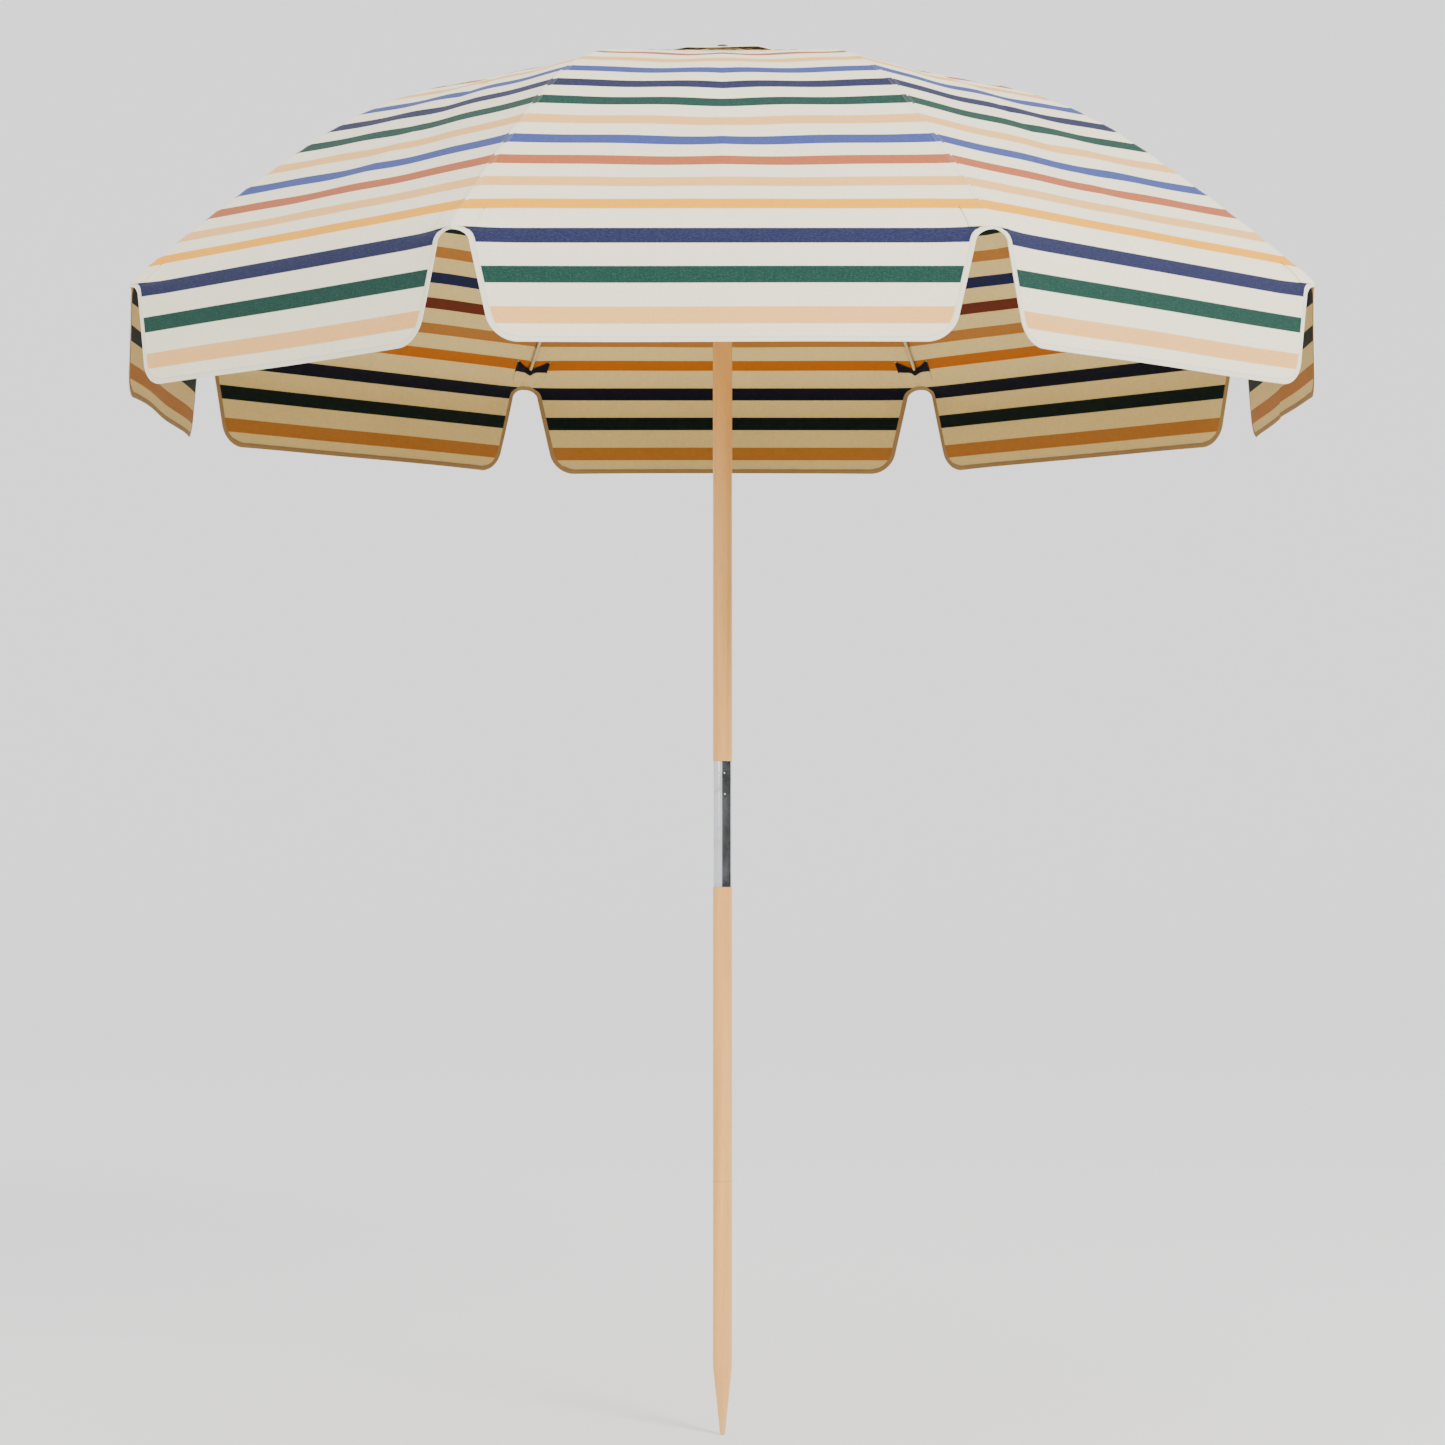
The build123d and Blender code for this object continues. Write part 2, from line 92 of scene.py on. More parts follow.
# the pieces sewn on at a rib tip, in metres; dip is the share of the length cut away mid-mouth
POCKET = {"width": 0.071, "foot": 0.018, "length": 0.048, "dip": 0.32, "bulge": 0.0088}
PATCH = {"width": 0.070, "foot": 0.004, "length": 0.044, "dip": 0.0, "bulge": 0.0}
POCKET_FLAT = (0.077, 0.045)
PATCH_FLAT = (0.070, 0.044)
# the dyes of the stripes from the hem to the top, by the names of the cloth's colours
STRIPES = (
    "peach", "green", "navy", "yellow", "peach", "terracotta", "blue", "peach", "green", "navy",
    "blue", "peach", "terracotta", "yellow", "peach", "blue", "navy", "green", "peach", "terracotta",
)


def rib_angle(rib):
    """Direction of a rib from the pole, by its number from 1."""
    return HALF * (2 * rib - 1)


def rise(slope):
    """Sine of a slope in degrees."""
    return math.sin(math.radians(slope))


def run(slope):
    """Cosine of a slope in degrees."""
    return math.cos(math.radians(slope))


# ---- shader maths -------------------------------------------------------------------------------
class Value:
    """A number or colour socket that takes part in sums."""

    def __init__(self, nodes, socket):
        self.nodes, self.socket = nodes, socket

    def __add__(self, other):
        return self.nodes.math("ADD", self, other)

    def __sub__(self, other):
        return self.nodes.math("SUBTRACT", self, other)

    def __rsub__(self, other):
        return self.nodes.math("SUBTRACT", other, self)

    def __mul__(self, other):
        return self.nodes.math("MULTIPLY", self, other)

    def __truediv__(self, other):
        return self.nodes.math("DIVIDE", self, other)

    __radd__, __rmul__ = __add__, __mul__

    def floor(self):
        return self.nodes.math("FLOOR", self)

    def fract(self):
        return self.nodes.math("FRACT", self)

    def sin(self):
        return self.nodes.math("SINE", self)

    def abs(self):
        return self.nodes.math("ABSOLUTE", self)

    def low(self, other):
        return self.nodes.math("MINIMUM", self, other)

    def high(self, other):
        return self.nodes.math("MAXIMUM", self, other)

    def held(self):
        """Kept from 0 to 1."""
        return self.low(1.0).high(0.0)

    def less(self, other, soft):
        """1 where this is below other, easing to 0 over soft."""
        return ((other - self) / soft + 0.5).held()


class Nodes:
    """One material, with its shader's values set at once and its patterns added as sums."""

    def __init__(self, name, colour, **values):
        self.material = bpy.data.materials.new(name)
        self.material.use_nodes = True
        self.material.diffuse_color = (*colour, 1)
        self.tree = self.material.node_tree
        self.shader = self.tree.nodes["Principled BSDF"]
        self.shader.inputs["Base Color"].default_value = (*colour, 1)
        for key, value in values.items():
            self.shader.inputs[key.replace("_", " ").title().replace("Ior", "IOR")].default_value = value

    def put(self, socket, value):
        if isinstance(value, Value):
            self.tree.links.new(value.socket, socket)
        elif isinstance(value, tuple) and socket.type == "RGBA":
            socket.default_value = (*value[:3], 1)
        else:
            socket.default_value = value

    def add(self, kind, settings=(), inputs=(), output=0):
        """Any node: its type, its settings with a ramp's stops among them, then the values and links
        of its inputs. Gives one output, or all of them where output is None."""
        node = self.tree.nodes.new(kind)
        for key, value in dict(settings).items():
            if key == "interpolation":
                node.color_ramp.interpolation = value
            elif key == "stops":
                stops = node.color_ramp.elements
                while len(stops) < len(value):
                    stops.new(1.0)
                for stop, (position, colour) in zip(stops, value):
                    stop.position = position
                    stop.color = (*colour, 1)
            else:
                setattr(node, key, value)
        for key, value in dict(inputs).items():
            self.put(node.inputs[key], value)
        if output is None:
            return [Value(self, socket) for socket in node.outputs]
        return Value(self, node.outputs[output])

    def math(self, operation, *values):
        return self.add("ShaderNodeMath", {"operation": operation}, enumerate(values))

    def mix(self, share, a, b, blend="MIX"):
        """Colour a turning to b."""
        settings = {"data_type": "RGBA", "blend_type": blend}
        return self.add("ShaderNodeMix", settings, {0: share, 6: a, 7: b}, 2)

    def vector(self, x, y, z=0.0):
        return self.add("ShaderNodeCombineXYZ", (), {"X": x, "Y": y, "Z": z})

    def split(self, vector):
        return self.add("ShaderNodeSeparateXYZ", (), {0: vector}, None)

    def place(self):
        """The piece's own coordinates, in metres."""
        return self.add("ShaderNodeTexCoord", output=3)

    def noise(self, vector, scale, detail=2.0, roughness=0.5):
        inputs = {"Vector": vector, "Scale": scale, "Detail": detail, "Roughness": roughness}
        return self.add("ShaderNodeTexNoise", (), inputs)

    def ramp(self, share, colours, kind="LINEAR"):
        """Colours at even steps along share, each held until the next with kind CONSTANT."""
        last = len(colours) - (kind != "CONSTANT")
        stops = [(index / last, colour) for index, colour in enumerate(colours)]
        return self.add("ShaderNodeValToRGB", {"interpolation": kind, "stops": stops}, {0: share})

    def feed(self, name, value):
        self.put(self.shader.inputs[name], value)

    def relief(self, height, depth, strength):
        inputs = {"Height": height, "Distance": depth, "Strength": strength}
        self.feed("Normal", self.add("ShaderNodeBump", (), inputs))


def wood_finish():
    """Lacquered pale hardwood, its grain running along the pole."""
    gloss = {"roughness": 0.36, "coat_weight": 0.12, "coat_roughness": 0.25, "specular_ior_level": 0.35}
    n = Nodes("Lacquered wood", (0.78, 0.41, 0.155), **gloss)
    x, y, z = n.split(n.place())
    turn = n.vector(x * 60.0, y * 60.0, z * 2.2)
    broad = n.noise(turn, 1.0, 3.0, 0.55)
    fine = n.noise(n.vector(x * 900.0, y * 900.0, z * 16.0), 1.0, 3.0, 0.6)
    rings = (n.noise(n.vector(x * 34.0, y * 34.0, z * 0.9), 1.0, 1.0) * 26.0).sin() * 0.5 + 0.5
    tone = (broad * 0.55 + rings * 0.22 + fine * 0.25).held()
    colour = n.ramp(tone, [(0.64, 0.27, 0.055), (0.80, 0.39, 0.095), (0.89, 0.50, 0.15)])
    pores = n.noise(n.vector(x * 1500.0, y * 1500.0, z * 30.0), 1.0, 1.0).less(0.34, 0.06)
    colour = n.mix(pores * 0.35, colour, (0.40, 0.20, 0.09))
    # a turned line and a little wear at the sharpened end
    line_height, line_half_width = 0.4232, 0.0009
    line = (z - line_height).abs().less(line_half_width, 0.0008)
    colour = n.mix(line * 0.45, colour, (0.42, 0.24, 0.12))
    worn = z.less(0.03, 0.05) * n.noise(n.place(), 160.0, 3.0)
    colour = n.mix(worn * 0.5, colour, (0.60, 0.44, 0.30))
    n.feed("Base Color", colour)
    n.feed("Roughness", fine * 0.16 + 0.28)
    n.relief(fine - line, 0.0002, 0.35)
    return n.material


def plated_finish():
    """Bright plating with drawn lines along the tube and light rubbing."""
    n = Nodes("Plated steel tube", (0.78, 0.78, 0.79), metallic=1.0, roughness=0.14)
    x, y, z = n.split(n.place())
    drawn = n.noise(n.vector(x * 1300.0, y * 1300.0, z * 18.0), 1.0, 2.0)
    smear = n.noise(n.place(), 38.0, 4.0, 0.6)
    n.feed("Roughness", drawn * 0.07 + smear * 0.14 + 0.03)
    bright, rubbed = (0.60, 0.61, 0.63), (0.40, 0.39, 0.38)
    n.feed("Base Color", n.mix(smear.less(0.42, 0.16) * 0.5, bright, rubbed))
    n.relief(drawn, 0.00006, 0.4)
    return n.material


def steel_finish(name, colour, rough):
    n = Nodes(name, colour, metallic=1.0, roughness=rough)
    grain = n.noise(n.place(), 900.0, 3.0, 0.6)
    blotch = n.noise(n.place(), 70.0, 3.0)
    darker = tuple(0.6 * c for c in colour)
    n.feed("Base Color", n.mix(blotch.less(0.45, 0.2) * 0.6, colour, darker))
    n.feed("Roughness", grain * 0.16 + rough - 0.08)
    n.relief(grain, 0.00005, 0.5)
    return n.material


def plastic_finish(name, colour, rough):
    """Moulded plastic with a fine orange-peel skin and a dusty bloom."""
    n = Nodes(name, colour, roughness=rough, specular_ior_level=0.4)
    skin = n.noise(n.place(), 1400.0, 2.0)
    dust = n.noise(n.place(), 55.0, 4.0, 0.65)
    lighter = tuple(0.9 * c + 0.06 for c in colour)
    n.feed("Base Color", n.mix((dust - 0.35).held() * 0.9, colour, lighter))
    n.feed("Roughness", dust * 0.2 + rough - 0.1)
    n.relief(skin, 0.00006, 0.4)
    return n.material


def rod_finish():
    """Pultruded glass rod: pale resin with strands along its length."""
    n = Nodes("Glass fibre rod", (0.50, 0.40, 0.21), roughness=0.36, coat_weight=0.12)
    long = n.noise(n.place(), 420.0, 3.0, 0.7)
    tone = n.noise(n.place(), 9.0, 2.0)
    resin = [(0.38, 0.29, 0.13), (0.58, 0.48, 0.27)]
    n.feed("Base Color", n.ramp((long * 0.5 + tone * 0.5).held(), resin))
    n.feed("Roughness", long * 0.2 + 0.22)
    n.relief(long, 0.00008, 0.4)
    return n.material


def enamel_finish():
    """White enamel on the stretchers, chipped to grey steel here and there."""
    n = Nodes("White enamel", (0.80, 0.80, 0.77), roughness=0.35, coat_weight=0.3)
    chips = n.noise(n.place(), 210.0, 4.0, 0.7).less(0.30, 0.02)
    tone = n.noise(n.place(), 18.0, 2.0)
    colour = n.mix(tone, (0.74, 0.74, 0.70), (0.84, 0.84, 0.81))
    n.feed("Base Color", n.mix(chips, colour, (0.30, 0.29, 0.28)))
    n.feed("Roughness", chips * 0.3 + 0.3)
    n.relief(0.0 - chips, 0.0001, 0.6)
    return n.material


def cloth_finish(name, inner, settings, shift=0.0):
    """Striped woven cloth. Its map holds metres from the seam and metres up from the hem, and its
    second map the distance to the bound edge and to the seam."""
    white = tuple(settings.white)
    dyes = [tuple(getattr(settings, dye)) for dye in STRIPES]
    n = Nodes(name, white, roughness=0.88, sheen_weight=0.04, specular_ior_level=0.12)
    cloth = n.add("ShaderNodeUVMap", {"uv_map": "Cloth"})
    trim = n.add("ShaderNodeUVMap", {"uv_map": "Trim"})
    across, up, _ = n.split(cloth)
    edge, seam, _ = n.split(trim)
    # threads both ways, uneven in thickness and colour
    weft = n.noise(n.vector(across * 60.0, up * 1400.0), 1.0, 2.0)
    warp = n.noise(n.vector(across * 1400.0, up * 60.0, 3.0), 1.0, 2.0)
    slub = n.noise(n.vector(across * 240.0, up * 900.0, 7.0), 1.0, 3.0, 0.7)
    # the felled seam shows the folded edge of one panel, where its stripes run the other way
    lap = (settings.seam * MM - seam).held() * (0.0 - across).less(0.0, 0.0004)
    height = up / MM + shift + (slub - 0.5) * 1.1 + lap * (SEAM_SLANT / MM)
    # stripes: the flap's three are a little closer than the rest
    low_part = (height - settings.first_stripe) / settings.flap_pitch
    high_part = (height - settings.crown_stripe) / settings.pitch + 3.0
    step = height.less(settings.crown_stripe - 8.0, 0.01)
    count = low_part * step + high_part * (1.0 - step) + 0.1
    inside = count.fract() - 0.1
    stripe = (inside.low(settings.stripe / settings.pitch - inside) * 55.0 + 0.5).held()
    dye = n.ramp(count.floor() / float(len(dyes)) + 0.01, dyes, "CONSTANT")
    weave = weft * 0.5 + warp * 0.5
    mottle = n.noise(n.vector(across * 5.0, up * 5.0, 2.0), 1.0, 3.0)
    # the dyed yarns are flecked with undyed ones
    fleck = (slub * 0.6 + weave * 0.4 - 0.47) * 5.0
    dyed = n.mix(fleck.held() * 0.12, dye, n.mix(0.4, dye, white))
    colour = n.mix(stripe, white, dyed)
    shade = (weave - 0.5) * 0.5 + (mottle - 0.5) * 0.10 + 1.0
    colour = n.mix(1.0, colour, n.vector(shade, shade, shade), "MULTIPLY")
    # white binding round the flap, with its row of stitches
    bound = edge.less(settings.binding * MM, 0.0004)
    stitches = (edge - (settings.binding - 1.6) * MM).abs().less(0.00045, 0.0003)
    stitches = stitches * ((across + up) / 0.0034).fract().less(0.62, 0.1)
    rib_weave = ((across + up) * 2800.0).sin() * 0.5 + 0.5
    tape = n.mix(rib_weave * 0.25, *TAPE)
    # painted shade: on the underside the binding's colour is darkened
    if inner:
        tape = n.mix(1.0, tape, (0.66, 0.60, 0.56), "MULTIPLY")
    colour = n.mix(bound, colour, n.mix(stitches * 0.5, tape, (0.45, 0.44, 0.40)))
    # the felled seam along the rib: a raised band with a stitched edge
    felled = seam.less(settings.seam * MM, 0.0005) * (1.0 - bound)
    sewn = (seam - (settings.seam - 1.3) * MM).abs().less(0.0004, 0.0003)
    sewn = sewn * (up / 0.0034).fract().less(0.62, 0.1)
    colour = n.mix(sewn * 0.22, colour, (0.40, 0.39, 0.36))
    seam_dirt_and_painted_light = n.mix(felled * 0.05, colour, (0.50, 0.47, 0.42))
    if inner:
        # painted light through the cloth and painted shade on the underside: each dye is deepened, and the
        # whole is darkened and warmed
        painted_backlit_dyes = n.mix(1.0, seam_dirt_and_painted_light, seam_dirt_and_painted_light, "MULTIPLY")
        painted_shade_and_glow = n.mix(stripe * (1.0 - bound), (0.77, 0.63, 0.41), (0.44, 0.48, 0.40))
        seam_dirt_and_painted_light = n.mix(1.0, n.mix(0.8, seam_dirt_and_painted_light, painted_backlit_dyes), painted_shade_and_glow, "MULTIPLY")
    n.feed("Base Color", seam_dirt_and_painted_light)
    n.feed("Roughness", weave * 0.12 + 0.82)
    n.relief(weave * 0.8 + slub * 0.5 - stitches - sewn, 0.00035, 0.55)
    return n.material


# ---- the cloth's shape --------------------------------------------------------------------------
class Canopy:
    """Where every point of the cloth lies, from the same sizes as the frame."""

    def __init__(self, s, pattern):
        self.s = s
        self.binding, self.seam = pattern.binding * MM, pattern.seam * MM
        self.soft = self.profile(s.soft_fold, s.soft_start)
        self.line = self.profile(s.fold_radius, s.fold_start)

    def profile(self, fold_radius, fold_start):
        """Mid-panel line from the top hole to the hem: arrays of x, z, slope and length from the hem."""
        s = self.s
        bend_1, bend_2 = SHOULDER_BEND * s.canopy_radius, TIP_BEND * s.canopy_radius
        run_1 = bend_1 * (rise(s.shoulder_slope) - rise(s.crown_slope))
        run_2 = bend_2 * (rise(s.tip_slope) - rise(s.shoulder_slope))
        straight = s.canopy_radius - s.pivot_radius - run_1 - run_2
        tan_crown = math.tan(math.radians(s.crown_slope))
        points = []
        start, end = s.hole, s.pivot_radius + straight
        crown_points, bend_points, fold_points, flap_points = 40, 60, 30, 60
        for i in range(crown_points):
            r = start + (end - start) * i / crown_points
            points.append((r, s.pivot_height - (r - s.pivot_radius) * tan_crown, s.crown_slope))
        base = (end, s.pivot_height - straight * tan_crown)

        def arc(base, radius, a, b, count):
            for i in range(count):
                g = a + (b - a) * i / (count - 1)
                x, z = base[0] + radius * (rise(g) - rise(a)), base[1] - radius * (run(a) - run(g))
                points.append((x, z, g))
            return points[-1][:2]

        base = arc(base, bend_1, s.crown_slope, s.shoulder_slope, bend_points)
        fold_slope = s.tip_slope - math.degrees(fold_start / run(s.tip_slope) / bend_2)
        arc(base, bend_2, s.shoulder_slope, fold_slope, bend_points)
        # from over the rib to the middle of the panel, where the cloth is nearer and steeper
        line = []
        for r, z, g in points:
            steeper = math.degrees(math.atan(math.tan(math.radians(g)) / math.cos(HALF)))
            line.append(((r + s.lift * rise(g)) * math.cos(HALF), z + s.lift * run(g), steeper))
        points = []
        last = arc(line[-1][:2], fold_radius, line[-1][2], s.flap_lean, fold_points)
        self.fold_height = (
            base[1] - bend_2 * (run(s.shoulder_slope) - run(s.tip_slope)) + s.lift * run(s.tip_slope)
        )
        floor = self.fold_height - s.flap_length
        lean = run(s.flap_lean) / rise(s.flap_lean)
        for i in range(1, flap_points):
            z = last[1] + (floor - last[1]) * i / (flap_points - 1)
            points.append((last[0] + (last[1] - z) * lean, z, s.flap_lean))
        x, z, g = np.array(line + points).T
        length = np.concatenate([[0], np.cumsum(np.hypot(np.diff(x), np.diff(z)))])
        return x, z, g, length[-1] - length

    def at(self, up, line=None):
        """x, z and slope of the mid-panel line this far up from the hem."""
        x, z, g, length = (a[::-1] for a in (line or self.line))
        return np.interp(up, length, x), np.interp(up, length, z), np.interp(up, length, g)

    def notch_up(self):
        """How far up from the hem the notches end."""
        _, z, _, length = self.line
        return float(np.interp(-(self.fold_height - self.s.notch_rise), -z, length))

    def reach(self, up):
        """Half-width of the cloth this far up from the hem."""
        s = self.s
        full = self.at(up)[0] * math.tan(HALF)
        top = self.notch_up()
        d = np.maximum(top - up, 0)
        apex = s.notch_half * np.sqrt(1 - (1 - np.minimum(d / s.notch_round, 1)) ** 2)
        slant = (s.notch_foot - s.notch_half) * np.maximum(d - s.notch_round, 0) / (top - s.notch_round)
        below = np.maximum(s.flap_corner - up, 0)
        corner = s.flap_corner - np.sqrt(np.maximum(s.flap_corner**2 - below**2, 0))
        whole = float(self.at(top)[0]) * math.tan(HALF)
        return np.where(up >= top, full, whole - apex - slant - corner)

    def place(self, panel, t, up, lift=0.0):
        """Points on a panel's cloth, by its number, t metres along the tangent and up from the hem."""
        s = self.s
        beta = 2 * HALF * panel
        x, z, g = self.at(up)
        wide = np.maximum(self.reach(up), x * math.tan(HALF) * (up >= self.notch_up()))
        share = np.clip(np.abs(t) / np.maximum(wide, 1e-6), 0, 1)
        # the fold is tight over the rib tips and rounder between them
        loose = np.clip((1 - share) / 0.22, 0, 1)
        loose = loose * loose * (3 - 2 * loose)
        short = self.soft[3][0] - self.line[3][0]
        softer = self.at(up + short * np.clip((up - 0.1) / 0.2, 0, 1), self.soft)
        x, z, g = (a + (b - a) * loose for a, b in zip((x, z, g), softer))
        g = np.radians(g)
        total = self.line[3][0]
        crown = np.clip((up - self.notch_up()) / (total - self.notch_up()), 0, 1)
        middle = 1 - share**2
        sag = s.sag * np.sin(np.pi * crown**0.8) ** 1.5 * middle
        # tension lines run in from the rib tips, and the cloth ripples a little along each seam
        near = np.exp(-(1 - share) * wide / 0.05)
        pull = 0.0007 * np.sin(up / 0.0105 + 1.3 * panel) * near * np.sin(np.pi * crown) ** 0.5
        drag = 0.0016 * np.sin(9 * share + 14 * crown + panel) * np.clip(crown * 4, 0, 1) * (1 - share)
        hang = np.clip(1 - up / self.notch_up(), 0, 1)
        wave = s.flap_wave * hang**1.3 * np.sin(t * (13 + 2 * math.sin(5 * panel)) + 2.1 * panel)
        curl = s.flap_curl * hang**2 * share**6
        away = lift - sag + pull + drag * (crown < 0.98) + wave + curl
        x = x + away * np.sin(g)
        z = z + away * np.cos(g)
        out = np.array([math.cos(beta), math.sin(beta), 0])
        side = np.array([-math.sin(beta), math.cos(beta), 0])
        return x[..., None] * out + t[..., None] * side + z[..., None] * np.array([0, 0, 1.0])


def directions(points):
    """Unit normals of a grid of points."""
    a, b = np.gradient(points, axis=0), np.gradient(points, axis=1)
    n = np.cross(a, b)
    return n / np.maximum(np.linalg.norm(n, axis=-1, keepdims=True), 1e-12)


def shell(name, grids, materials, weld=()):
    """One mesh of cloth with an outer and an inner face. Each grid is a dict of points, normals, half
    thickness, and the two maps. weld has the grid rows whose first column the second grid shares."""
    verts, faces, maps, kinds, sharp = [], [], [], [], []
    first = None
    for grid in grids:
        p, n, h = grid["points"], grid["normals"], grid["half"]
        rows, cols = p.shape[:2]
        index = np.zeros((2, rows, cols), int)
        for level, sign in ((0, 1), (1, -1)):
            for i in range(rows):
                for j in range(cols):
                    if first is not None and j == 0 and i in weld:
                        index[level, i, j] = first[level, i, j]
                        continue
                    index[level, i, j] = len(verts)
                    verts.append(p[i, j] + sign * h[i, j] * n[i, j])
        if first is None:
            first = index

        def face(corners, kind):
            ids = [index[c] for c in corners]
            if len(set(ids)) < 3:
                return
            keep = [c for k, c in enumerate(corners) if ids[k] not in ids[:k]]
            if grid["flip"]:
                keep = keep[::-1]
            faces.append([int(index[c]) for c in keep])
            maps.append([(grid["cloth"][c[1:]], grid["trim"][c[1:]]) for c in keep])
            kinds.append(kind)

        for i in range(rows - 1):
            for j in range(cols - 1):
                quad = [(i, j), (i, j + 1), (i + 1, j + 1), (i + 1, j)]
                face([(0, *c) for c in quad], 0)
                face([(1, *c) for c in quad[::-1]], 1)
        ring = [(0, j) for j in range(cols)] + [(i, cols - 1) for i in range(1, rows)]
        ring += [(rows - 1, j) for j in range(cols - 2, -1, -1)]
        ring += [(i, 0) for i in range(rows - 2, -1, -1) if i + 1 not in weld]
        for a, b in zip(ring, ring[1:]):
            if abs(a[0] - b[0]) + abs(a[1] - b[1]) == 1:
                face([(0, *b), (0, *a), (1, *a), (1, *b)], 0)
                sharp.append((int(index[(0, *a)]), int(index[(0, *b)])))
                sharp.append((int(index[(1, *a)]), int(index[(1, *b)])))
    mesh = bpy.data.meshes.new(name)
    mesh.from_pydata([tuple(map(float, v)) for v in verts], [], faces)
    cloth, trim = mesh.uv_layers.new(name="Cloth"), mesh.uv_layers.new(name="Trim")
    flat = [pair for f in maps for pair in f]
    cloth.uv.foreach_set("vector", np.array([c for c, _ in flat], np.float32).ravel())
    trim.uv.foreach_set("vector", np.array([t for _, t in flat], np.float32).ravel())
    mesh.polygons.foreach_set("material_index", kinds)
    for material in materials:
        mesh.materials.append(material)
    mesh.shade_smooth()
    edges = {frozenset(e) for e in sharp}
    for e in mesh.edges:
        e.use_edge_sharp = frozenset(e.vertices) in edges
    mesh.update()
    obj = bpy.data.objects.new(name, mesh)
    bpy.context.scene.collection.objects.link(obj)
    return obj


def rows_up(canopy):
    """Heights of the grid's rows, from the top hole to the hem, closer where the outline turns."""
    s, top, total = canopy.s, canopy.notch_up(), canopy.line[3][0]
    crown = np.linspace(total, top + FOLD_ZONE, s.crown_rows)
    fold = np.linspace(top + FOLD_ZONE, top, 11)[1:]
    r = s.notch_round
    notch = [top - r * f for f in (0.02, 0.08, 0.18, 0.34, 0.58, 0.82, 1.0)]
    flap = list(np.linspace(top - r, s.flap_corner, 9)[1:])
    foot = [s.flap_corner * f for f in (0.8, 0.6, 0.43, 0.28, 0.17, 0.09, 0.035, 0.008, 0.0)]
    heights = {round(float(v), 7) for v in [*crown, *fold, *notch, *flap, *foot, canopy.binding]}
    return np.array(sorted(heights, reverse=True))


def raised(width, distance):
    """1 within width of an edge or seam, easing to 0 just past it."""
    ease = 0.0012
    return np.clip((width + ease / 2 - distance) / ease, 0, 1)


def half_panel(canopy, rib, side):
    """Grid of the cloth from a rib to the middle of the panel on one side of it (+1 or -1)."""
    s = canopy.s
    panel = rib if side > 0 else rib - 1
    up = rows_up(canopy)
    wide = canopy.reach(up)
    near = np.broadcast_to(SEAM_COLUMNS, (len(up), len(SEAM_COLUMNS)))
    rest = np.linspace(0, 1, s.panel_columns)[1:]
    off = np.concatenate([near, near[:, -1:] + (wide[:, None] - near[:, -1:]) * rest], axis=1)
    t = -side * (wide[:, None] - off)
    ups = np.broadcast_to(up[:, None], t.shape)
    points = canopy.place(panel, t, ups)
    normals = directions(points) * side
    under = np.array([0, 0, 1.6])
    middle = (len(up) // 2, 8)
    if normals[middle] @ (points[middle] - under) < 0:
        normals = -normals
    notch = canopy.notch_up()
    # distance to the flap's bound edge
    outline = np.stack([wide[up <= notch], up[up <= notch]], 1)
    steps = np.linspace(0, 1, 6)[:, None]
    side_points = [a + (b - a) * steps for a, b in zip(outline, outline[1:])]
    foot = np.stack([np.linspace(0, outline[-1][0], 60), np.zeros(60)], 1)
    fine = np.concatenate([*side_points, foot])
    here = np.stack([np.abs(t), ups], -1)
    edge = np.full(t.shape, FAR)
    for i in range(len(up)):
        if up[i] < notch + 0.03:
            gap = here[i][:, None] - fine[None]
            edge[i] = np.sqrt((gap**2).sum(-1)).min(1)
    seam = np.where(ups >= notch, off, FAR)
    half = np.full(t.shape, s.cloth / 2)
    half += 0.00045 * raised(canopy.binding, edge)
    half += 0.0005 * raised(canopy.seam, seam)
    return {
        "points": points,
        "normals": normals,
        "half": half,
        "cloth": np.stack([side * off, ups], -1),
        "trim": np.stack([np.minimum(edge, FAR), np.minimum(seam, FAR)], -1),
        "flip": side < 0,
        "weld": [i for i in range(len(up)) if up[i] >= notch],
    }


